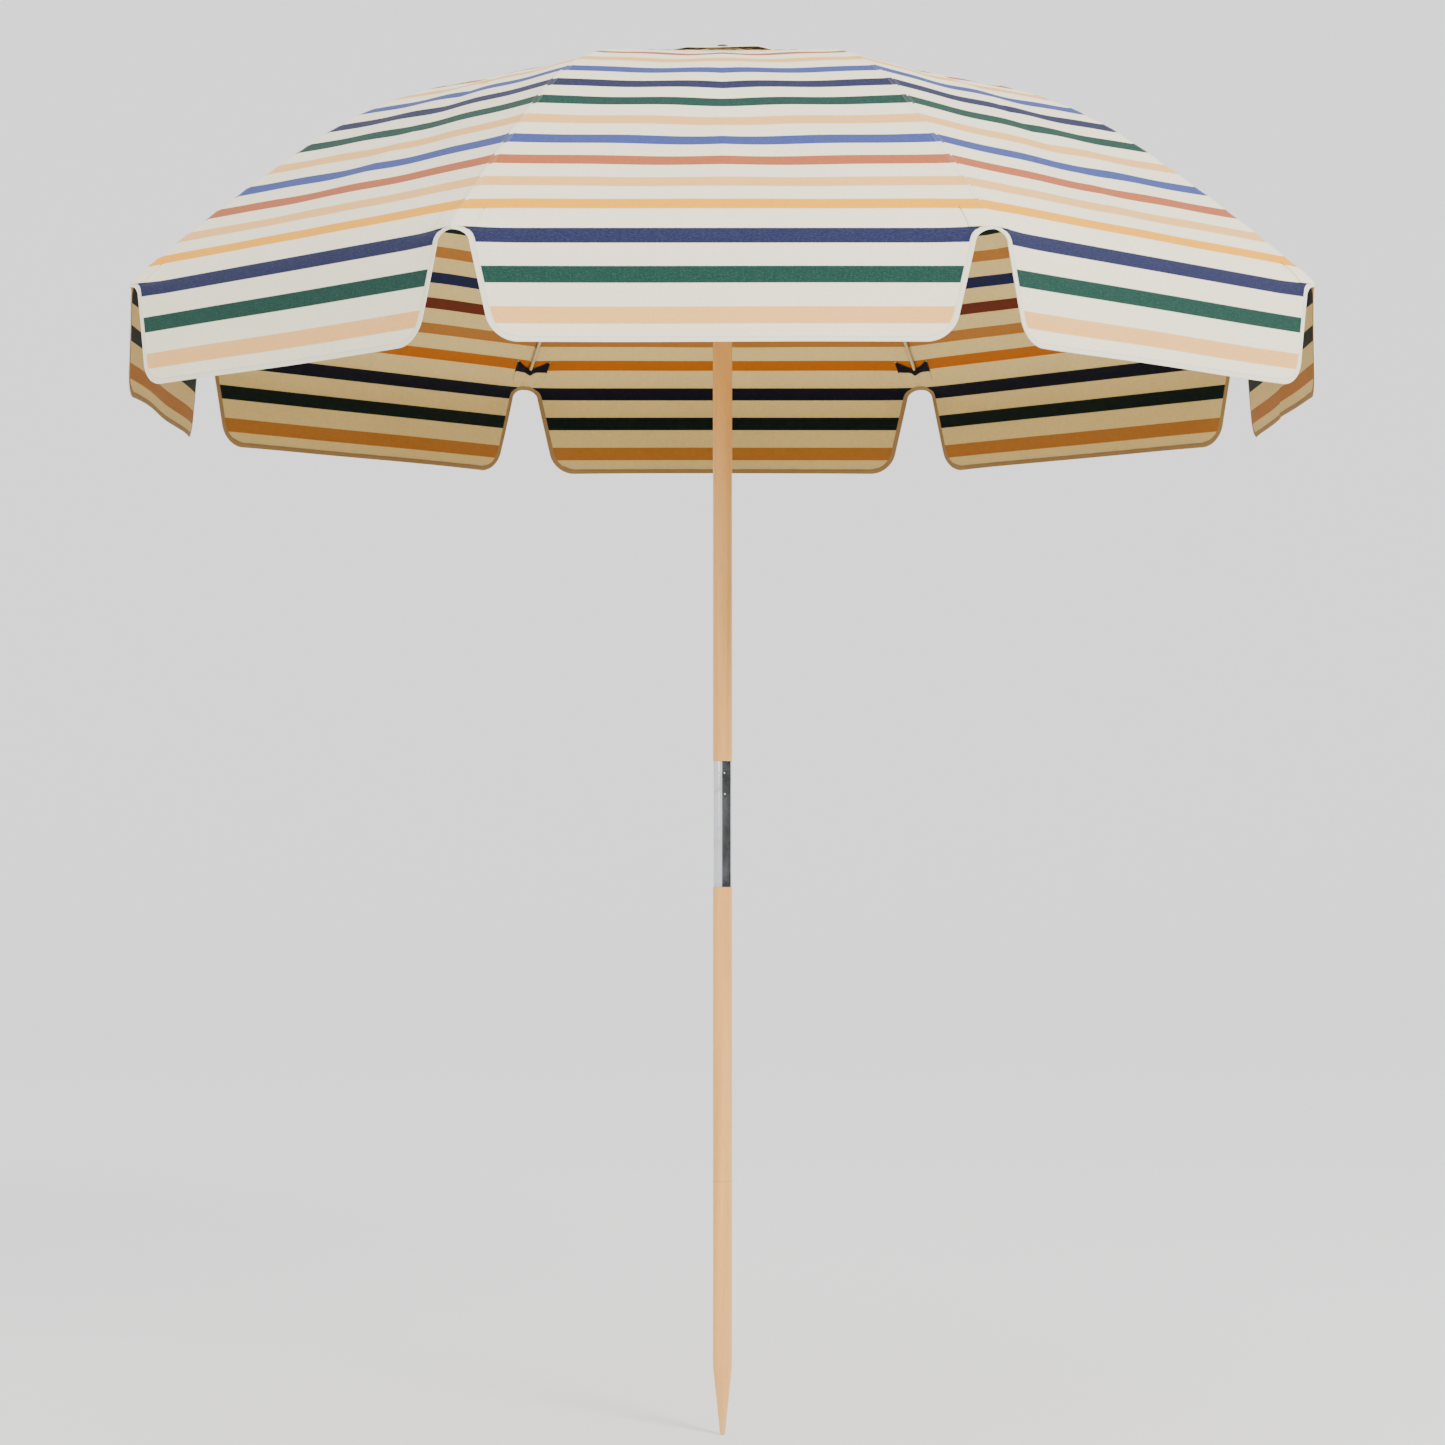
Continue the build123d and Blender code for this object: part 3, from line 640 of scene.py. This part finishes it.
def corner_patch(canopy, rib, name, width, foot, length, dip, bulge, inner, material):
    """A small cloth piece over the fold line at a rib tip: inside it is the pocket that holds the
    rod, outside a strengthening patch."""
    angle = rib_angle(rib)
    a = np.linspace(-1, 1, 29)
    b = np.linspace(0, 1, 15)
    ups = canopy.notch_up() + foot + b[:, None] * length * (1 - dip * (1 - a**2) ** 1.5)
    spread = (0.5 * width) * a + 0 * ups
    out = np.array([math.cos(angle), math.sin(angle), 0])
    points = np.zeros((*ups.shape, 3))
    normals = np.zeros_like(points)
    wide = canopy.at(ups)[0] * math.tan(HALF)
    slope = np.radians(canopy.at(ups)[2])
    for side in (1, -1):
        panel = rib if side > 0 else rib - 1
        here = spread * side >= 0
        beta = 2 * HALF * panel
        t = -side * (wide - np.abs(spread))
        p = canopy.place(panel, t, ups)
        facing = np.array([math.cos(beta), math.sin(beta), 0])
        share = np.clip(np.abs(spread) / 0.012, 0, 1)[..., None]
        flat = share * facing + (1 - share) * out
        flat /= np.linalg.norm(flat, axis=-1, keepdims=True)
        n = flat * np.sin(slope)[..., None] + np.array([0, 0, 1.0]) * np.cos(slope)[..., None]
        points[here], normals[here] = p[here], n[here]
    sign = -1 if inner else 1
    rim = (1 - np.abs(a))[None, :] * (0.5 * width)
    # a clear gap from the cloth, and inside a tunnel round the rod
    tunnel = np.exp(-((spread / 0.0085) ** 2)) * (np.clip(b / 0.22, 0, 1) ** 0.5)[:, None]
    away = 0.0013 + bulge * tunnel
    if inner:
        away = away + 0.0006 * np.sin(a * 9 + rib)[None, :] * b[:, None]
    points = points + sign * away[..., None] * normals
    half = np.full(ups.shape, 0.00035) + 0.0002 * (rim < 0.004)
    edge = np.full(ups.shape, FAR)
    grid = {
        "points": points,
        "normals": directions(points),
        "half": half,
        "cloth": np.stack([spread + 0.2, ups], -1),
        "trim": np.stack([edge, rim * np.ones_like(ups) + 0.0045], -1),
        "flip": False,
    }
    if (grid["normals"] * normals).sum() < 0:
        grid["normals"] = -grid["normals"]
        grid["flip"] = True
    return shell(name, [grid], [material, material])


def closed_outward(obj):
    """Turns the faces outward if they point in."""
    mesh = obj.data
    volume = 0.0
    mesh.calc_loop_triangles()
    for tri in mesh.loop_triangles:
        a, b, c = (mesh.vertices[i].co for i in tri.vertices)
        volume += a.dot(b.cross(c))
    if volume < 0:
        mesh.flip_normals()


def vent_piece(s, name, rows, start, end, low, high, materials):
    """Part of the vent cap between two angles in radians, with a row of points at each radius."""
    angle = np.linspace(start, end, round((end - start) / HALF * 6) + 1)
    fold = np.mod(angle, 2 * HALF) - HALF
    eight = math.cos(HALF) / np.cos(np.mod(angle + HALF, 2 * HALF) - HALF)
    blend = np.clip((rows - 0.03) / 0.03, 0, 1)[:, None]
    r = rows[:, None] * (1 - blend + blend * eight[None])
    fall = np.clip((rows - VENT_FLAT) / (s.vent - VENT_FLAT), 0, 1)[:, None]
    hollow = 0.0012 * np.sin(np.pi * fall) * np.cos(fold / HALF * np.pi / 2)[None] ** 2
    z = high - (high - low) * fall - hollow + 0.001 * np.sin(5 * angle + 1)[None] * fall**2
    points = np.stack([r * np.cos(angle), r * np.sin(angle), z + 0 * r], -1)
    normals = directions(points)
    flip = bool(normals[len(rows) // 2, 2, 2] < 0)
    normals = -normals if flip else normals
    edge = (s.vent - rows)[:, None] + 0 * r
    seam = (HALF - np.abs(fold))[None] * r + 0.004
    grid = {
        "points": points,
        "normals": normals,
        "flip": flip,
        "half": 0.00035 + 0.0004 * (edge < 0.0075),
        "cloth": np.stack([np.abs(fold)[None] * r, 1.36 - rows[:, None] + 0 * r], -1),
        "trim": np.stack([edge, seam], -1),
    }
    obj = shell(name, [grid], materials)
    closed_outward(obj)
    return obj


# ---- settings -----------------------------------------------------------------------------------
class UmbrellaShape(bpy.types.PropertyGroup):
    """The cloth's shape, in metres and degrees."""

    canopy_radius: FloatProperty(
        name="Rib reach",
        description="From the pole's centre to a rib tip, level",
        default=1.0,
        unit="LENGTH",
    )
    pivot_radius: FloatProperty(
        name="Hinge radius",
        description="From the pole's centre to a rib's hinge",
        default=0.022,
        unit="LENGTH",
    )
    pivot_height: FloatProperty(
        name="Hinge height",
        description="Height of the rib hinges above the ground",
        default=2.2965,
        unit="LENGTH",
    )
    crown_slope: FloatProperty(
        name="Crown slope",
        description="Slope of a rib near the crown, in degrees",
        default=11.0,
    )
    shoulder_slope: FloatProperty(
        name="Shoulder slope",
        description="Slope of a rib below its shoulder, in degrees",
        default=36.0,
    )
    tip_slope: FloatProperty(
        name="Tip slope",
        description="Slope of a rib at its tip, in degrees",
        default=42.5,
    )
    lift: FloatProperty(
        name="Cloth lift",
        description="Height of the cloth above a rib's centre line",
        default=0.0055,
        unit="LENGTH",
    )
    hole: FloatProperty(
        name="Top hole",
        description="Radius of the hole under the vent cap",
        default=0.1,
        unit="LENGTH",
    )
    fold_start: FloatProperty(
        name="Fold start",
        description="Distance inside a rib tip at which the cloth starts to fold",
        default=0.015,
        unit="LENGTH",
    )
    fold_radius: FloatProperty(
        name="Fold radius",
        description="Radius of the fold over a rib tip",
        default=0.0455,
        unit="LENGTH",
    )
    soft_start: FloatProperty(
        name="Soft fold start",
        description="Distance at which the fold starts between two ribs",
        default=0.038,
        unit="LENGTH",
    )
    soft_fold: FloatProperty(
        name="Soft fold radius",
        description="Radius of the fold between two ribs",
        default=0.118,
        unit="LENGTH",
    )
    flap_lean: FloatProperty(
        name="Flap slope",
        description="Slope of the hanging flap, in degrees",
        default=88.0,
    )
    flap_length: FloatProperty(
        name="Flap length",
        description="Drop of the flap below the fold",
        default=0.163,
        unit="LENGTH",
    )
    flap_corner: FloatProperty(
        name="Flap corner",
        description="Radius of the flap's lower corners",
        default=0.036,
        unit="LENGTH",
    )
    flap_wave: FloatProperty(
        name="Flap wave",
        description="Depth of the waves along the hem",
        default=0.0028,
        unit="LENGTH",
    )
    flap_curl: FloatProperty(
        name="Flap curl",
        description="How far the flap's corners curl out",
        default=0.004,
        unit="LENGTH",
    )
    notch_rise: FloatProperty(
        name="Notch top",
        description="Top of the notch, below the fold line",
        default=0.003,
        unit="LENGTH",
    )
    notch_half: FloatProperty(
        name="Notch top half-width",
        description="Half-width of the notch at its rounded top",
        default=0.0265,
        unit="LENGTH",
    )
    notch_foot: FloatProperty(
        name="Notch foot half-width",
        description="Half-width of the notch at the hem",
        default=0.058,
        unit="LENGTH",
    )
    notch_round: FloatProperty(
        name="Notch rounding",
        description="Height of the notch's rounded top",
        default=0.02,
        unit="LENGTH",
    )
    sag: FloatProperty(
        name="Sag",
        description="How far the cloth sags between two ribs",
        default=0.005,
        unit="LENGTH",
    )
    cloth: FloatProperty(
        name="Cloth thickness",
        description="Thickness of one layer of cloth",
        default=0.0007,
        unit="LENGTH",
    )
    vent: FloatProperty(
        name="Vent cap radius",
        description="From the vent cap's centre to its corners",
        default=0.15,
        unit="LENGTH",
    )
    gather: FloatProperty(
        name="Gathered width",
        description="Share of its width that the cloth keeps when closed",
        default=0.24,
        min=0.05,
        max=1.0,
        subtype="FACTOR",
    )
    crown_rows: IntProperty(
        name="Crown rows",
        description="Rows of the cloth from the top hole to the fold",
        default=44,
        min=8,
    )
    panel_columns: IntProperty(
        name="Panel columns",
        description="Columns of the cloth in half a panel",
        default=20,
        min=4,
    )


class UmbrellaCloth(bpy.types.PropertyGroup):
    """The woven pattern, in millimetres up from the hem, and its colours."""

    first_stripe: FloatProperty(
        name="First stripe",
        description="Start of the first stripe, in millimetres",
        default=25.5,
    )
    flap_pitch: FloatProperty(
        name="Flap spacing",
        description="Spacing of the stripes on the flap, in millimetres",
        default=57.7,
    )
    crown_stripe: FloatProperty(
        name="Fourth stripe",
        description="Start of the first stripe above the fold, in millimetres",
        default=204.0,
    )
    pitch: FloatProperty(
        name="Crown spacing",
        description="Spacing of the stripes above the fold, in millimetres",
        default=59.0,
    )
    stripe: FloatProperty(
        name="Stripe width",
        description="Width of a stripe, in millimetres",
        default=24.7,
    )
    binding: FloatProperty(
        name="Binding width",
        description="Width of the binding round the flap, in millimetres",
        default=8.5,
    )
    seam: FloatProperty(
        name="Seam half-width",
        description="Half-width of the felled seam on a rib, in millimetres",
        default=7.0,
    )
    white: FloatVectorProperty(
        name="White",
        description="The undyed ground",
        default=(0.86, 0.81, 0.59),
        subtype="COLOR",
        min=0.0,
        max=1.0,
    )
    peach: FloatVectorProperty(
        name="Peach",
        description="The palest dye",
        default=(0.84, 0.45, 0.15),
        subtype="COLOR",
        min=0.0,
        max=1.0,
    )
    green: FloatVectorProperty(
        name="Green",
        description="The dark green dye",
        default=(0.006, 0.046, 0.034),
        subtype="COLOR",
        min=0.0,
        max=1.0,
    )
    navy: FloatVectorProperty(
        name="Navy",
        description="The dark blue dye",
        default=(0.014, 0.017, 0.062),
        subtype="COLOR",
        min=0.0,
        max=1.0,
    )
    yellow: FloatVectorProperty(
        name="Yellow",
        description="The yellow dye",
        default=(0.88, 0.37, 0.0),
        subtype="COLOR",
        min=0.0,
        max=1.0,
    )
    terracotta: FloatVectorProperty(
        name="Terracotta",
        description="The red-brown dye",
        default=(0.40, 0.105, 0.038),
        subtype="COLOR",
        min=0.0,
        max=1.0,
    )
    blue: FloatVectorProperty(
        name="Blue",
        description="The mid blue dye",
        default=(0.042, 0.062, 0.235),
        subtype="COLOR",
        min=0.0,
        max=1.0,
    )


def ready(obj, rib, flat, keep, **extra):
    """Rides the rib, with a mesh of its own."""
    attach(obj, f"rib_{rib}")
    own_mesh(obj)


# ---- operators ----------------------------------------------------------------------------------
class UMBRELLA_OT_finishes(bpy.types.Operator):
    """Give the pole, the fittings, the ribs and the stretchers their finishes"""

    bl_idname = "umbrella.finishes"
    bl_label = "Finish the frame"

    def execute(self, context):
        wood, plated = wood_finish(), plated_finish()
        steel = steel_finish("Bright steel", (0.60, 0.60, 0.60), 0.3)
        pale = plastic_finish("Pale plastic", (0.74, 0.72, 0.67), 0.45)
        black = plastic_finish("Black plastic", (0.025, 0.025, 0.028), 0.42)
        rod, enamel = rod_finish(), enamel_finish()
        by_start = {
            "lower_pole": wood, "upper_pole": wood, "ferrule": plated, "crown_wire": steel,
            "crown": pale, "runner": pale, "finial": black, "catch": steel, "rib_eye": steel,
            "rib_bracket": pale, "bracket_pin": steel, "stretcher": enamel, "rib_": rod,
        }
        for node in bpy.data.objects:
            for start, material in by_start.items():
                if node.type == "MESH" and node.name.startswith(start):
                    node.data.materials.clear()
                    node.data.materials.append(material)
                    break
        return {"FINISHED"}


class UMBRELLA_OT_canopy(bpy.types.Operator):
    """Make the eight lengths of striped cloth, each from the middle of one panel over a rib to the next"""

    bl_idname = "umbrella.canopy"
    bl_label = "Make the canopy"

    def execute(self, context):
        s, pattern = context.scene.umbrella_shape, context.scene.umbrella_cloth
        canopy = Canopy(s, pattern)
        outer = cloth_finish("Striped cloth", False, pattern)
        inner = cloth_finish("Striped cloth, underside", True, pattern)
        up = rows_up(canopy)
        wide = canopy.reach(up)
        area = 2 * float(np.abs(np.trapz(wide, up)))
        size = (2 * float(wide.max()), float(up.max()))
        for rib in range(1, RIBS + 1):
            ahead, behind = half_panel(canopy, rib, 1), half_panel(canopy, rib, -1)
            weld = ahead["weld"]
            # the two halves share their points and direction along the seam
            for i in weld:
                n = ahead["normals"][i, 0] + behind["normals"][i, 0]
                ahead["normals"][i, 0] = behind["normals"][i, 0] = n / np.linalg.norm(n)
            obj = shell(f"cloth_{rib}", [ahead, behind], [outer, inner], set(weld))
            closed_outward(obj)
            ready(obj, rib, size, s.gather, rests_on=(f"rib_{rib}",), area=area)
            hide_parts(f"panel_{rib}")
        return {"FINISHED"}


class UMBRELLA_OT_corners(bpy.types.Operator):
    """Sew a pocket inside and a patch outside at each rib tip"""

    bl_idname = "umbrella.corners"
    bl_label = "Make the tip pockets"

    def execute(self, context):
        s, pattern = context.scene.umbrella_shape, context.scene.umbrella_cloth
        canopy = Canopy(s, pattern)
        inside = cloth_finish("Pocket cloth", True, pattern, -60.0)
        outside = cloth_finish("Patch cloth", False, pattern, 2.5)
        for rib in range(1, RIBS + 1):
            pocket = corner_patch(canopy, rib, f"pocket_{rib}", inner=True, material=inside, **POCKET)
            patch = corner_patch(canopy, rib, f"patch_{rib}", inner=False, material=outside, **PATCH)
            for obj, flat in ((pocket, POCKET_FLAT), (patch, PATCH_FLAT)):
                closed_outward(obj)
                ready(obj, rib, flat, s.gather, rests_on=(f"cloth_{rib}",))
        return {"FINISHED"}


class UMBRELLA_OT_vent(bpy.types.Operator):
    """Make the small eight-sided cap over the hole at the top, with one gore over each rib"""

    bl_idname = "umbrella.vent"
    bl_label = "Make the vent cap"

    def execute(self, context):
        s, pattern = context.scene.umbrella_shape, context.scene.umbrella_cloth
        low, high = (float(v[2]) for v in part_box("vent_cap"))
        low, high = low + 0.0005, high - 0.0005
        cloth = cloth_finish("Vent cap cloth", False, pattern, 3.0)
        under = cloth_finish("Vent cap cloth, underside", True, pattern, 3.0)
        inner = np.array([0.0034, 0.012, 0.022, VENT_FLAT, VENT_MIDDLE])
        gore_rows = np.linspace(0.042, s.vent - 0.0082, 12)
        outer = np.concatenate([[VENT_MIDDLE], gore_rows, [s.vent - 0.0072, s.vent]])
        middle = vent_piece(s, "vent_middle", inner, 0, 2 * math.pi, low, high, [cloth, under])
        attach(middle, "upper_pole")
        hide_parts("vent_cap")
        for rib in range(1, RIBS + 1):
            start, end = rib_angle(rib) - HALF, rib_angle(rib) + HALF
            obj = vent_piece(s, f"vent_gore_{rib}", outer, start, end, low, high, [cloth, under])
            width, length = 2 * s.vent * math.sin(HALF), s.vent - VENT_MIDDLE
            area = 0.66 * width * length
            keep = s.gather * 1.4
            ready(obj, rib, (width, length), keep, rests_on=("vent_middle",), area=area)
        return {"FINISHED"}


class UMBRELLA_OT_stage(bpy.types.Operator):
    """Lay the floor, hang the lights and set the camera"""

    bl_idname = "umbrella.stage"
    bl_label = "Set the stage"

    def execute(self, context):
        scene = context.scene
        # a floor that curves up into a far wall, so no horizon shows
        mesh = bpy.data.meshes.new("floor")
        reach, bend, wall, top = 40.0, 8.0, 12.0, 30.0
        turns = [math.pi / 2 * i / 24 for i in range(25)]
        line = [(-reach, 0.0)]
        line += [(wall + bend * math.sin(a), bend - bend * math.cos(a)) for a in turns]
        line.append((wall + bend, top))
        corners = [(x, y, z) for y, z in line for x in (-reach, reach)]
        strips = [(2 * i, 2 * i + 1, 2 * i + 3, 2 * i + 2) for i in range(len(line) - 1)]
        mesh.from_pydata(corners, [], strips)
        mesh.shade_smooth()
        floor = bpy.data.objects.new("floor", mesh)
        scene.collection.objects.link(floor)
        pale = Nodes("Floor", (0.93, 0.93, 0.93), roughness=0.9, specular_ior_level=0.1)
        mesh.materials.append(pale.material)
        # a dark curved card from the front round to the right, for the plating to mirror
        mesh = bpy.data.meshes.new("card")
        turns = [math.radians(-5 + 5 * i) for i in range(28)]
        card_radius, card_heights = 8, (0.2, 2.0)
        foot = [(card_radius * math.sin(a), -card_radius * math.cos(a)) for a in turns]
        corners = [(x, y, z) for x, y in foot for z in card_heights]
        strips = [(2 * i, 2 * i + 2, 2 * i + 3, 2 * i + 1) for i in range(len(foot) - 1)]
        mesh.from_pydata(corners, [], strips)
        card = bpy.data.objects.new("card", mesh)
        scene.collection.objects.link(card)
        mesh.materials.append(Nodes("Card", (0.05, 0.05, 0.05), roughness=0.9).material)
        card.visible_camera = False
        world = bpy.data.worlds.new("Studio")
        world.use_nodes = True
        world.node_tree.nodes["Background"].inputs["Color"].default_value = (1, 1, 1, 1)
        world.node_tree.nodes["Background"].inputs["Strength"].default_value = 1.65
        scene.world = world

        def lamp(name, place, aim, size, power, colour):
            light = bpy.data.lights.new(name, "AREA")
            light.shape, light.size, light.energy, light.color = "DISK", size, power, colour
            obj = bpy.data.objects.new(name, light)
            obj.location = place
            obj.rotation_euler = (Vector(aim) - Vector(place)).to_track_quat("-Z", "Y").to_euler()
            scene.collection.objects.link(obj)

        lamp("key", (3.6, -5.0, 4.6), (0, 0, 1.9), 2.2, 480, (1, 0.985, 0.96))
        lamp("fill", (-4.6, -4.4, 2.6), (0, 0, 1.6), 3.0, 60, (0.95, 0.975, 1))
        eye = bpy.data.cameras.new("camera")
        eye.lens, eye.sensor_width = 88.8, 36.0
        eye.shift_y = 0.073
        eye.clip_end = 200
        camera = bpy.data.objects.new("camera", eye)
        camera.location = (0.0, -5.942, 1.0115)
        camera.rotation_euler = (math.pi / 2, 0, 0)
        scene.collection.objects.link(camera)
        scene.camera = camera
        return {"FINISHED"}


class UMBRELLA_PT_panel(bpy.types.Panel):
    """Sizes and steps of the umbrella"""

    bl_idname = "UMBRELLA_PT_panel"
    bl_label = "Umbrella"
    bl_space_type = "VIEW_3D"
    bl_region_type = "UI"
    bl_category = "Umbrella"

    def draw(self, context):
        layout = self.layout
        for group in (context.scene.umbrella_shape, context.scene.umbrella_cloth):
            box = layout.box()
            for key in type(group).__annotations__:
                box.prop(group, key)
        for step in STEPS:
            layout.operator(step.bl_idname)


STEPS = (
    UMBRELLA_OT_finishes,
    UMBRELLA_OT_canopy,
    UMBRELLA_OT_corners,
    UMBRELLA_OT_vent,
    UMBRELLA_OT_stage,
)
CLASSES = (UmbrellaShape, UmbrellaCloth, *STEPS, UMBRELLA_PT_panel)


def register():
    for cls in CLASSES:
        bpy.utils.register_class(cls)
    bpy.types.Scene.umbrella_shape = PointerProperty(type=UmbrellaShape)
    bpy.types.Scene.umbrella_cloth = PointerProperty(type=UmbrellaCloth)


def unregister():
    del bpy.types.Scene.umbrella_cloth
    del bpy.types.Scene.umbrella_shape
    for cls in reversed(CLASSES):
        bpy.utils.unregister_class(cls)


def main():
    register()
    bpy.ops.umbrella.finishes()
    bpy.ops.umbrella.canopy()
    bpy.ops.umbrella.corners()
    bpy.ops.umbrella.vent()
    bpy.ops.umbrella.stage()


if __name__ == "__main__":
    main()
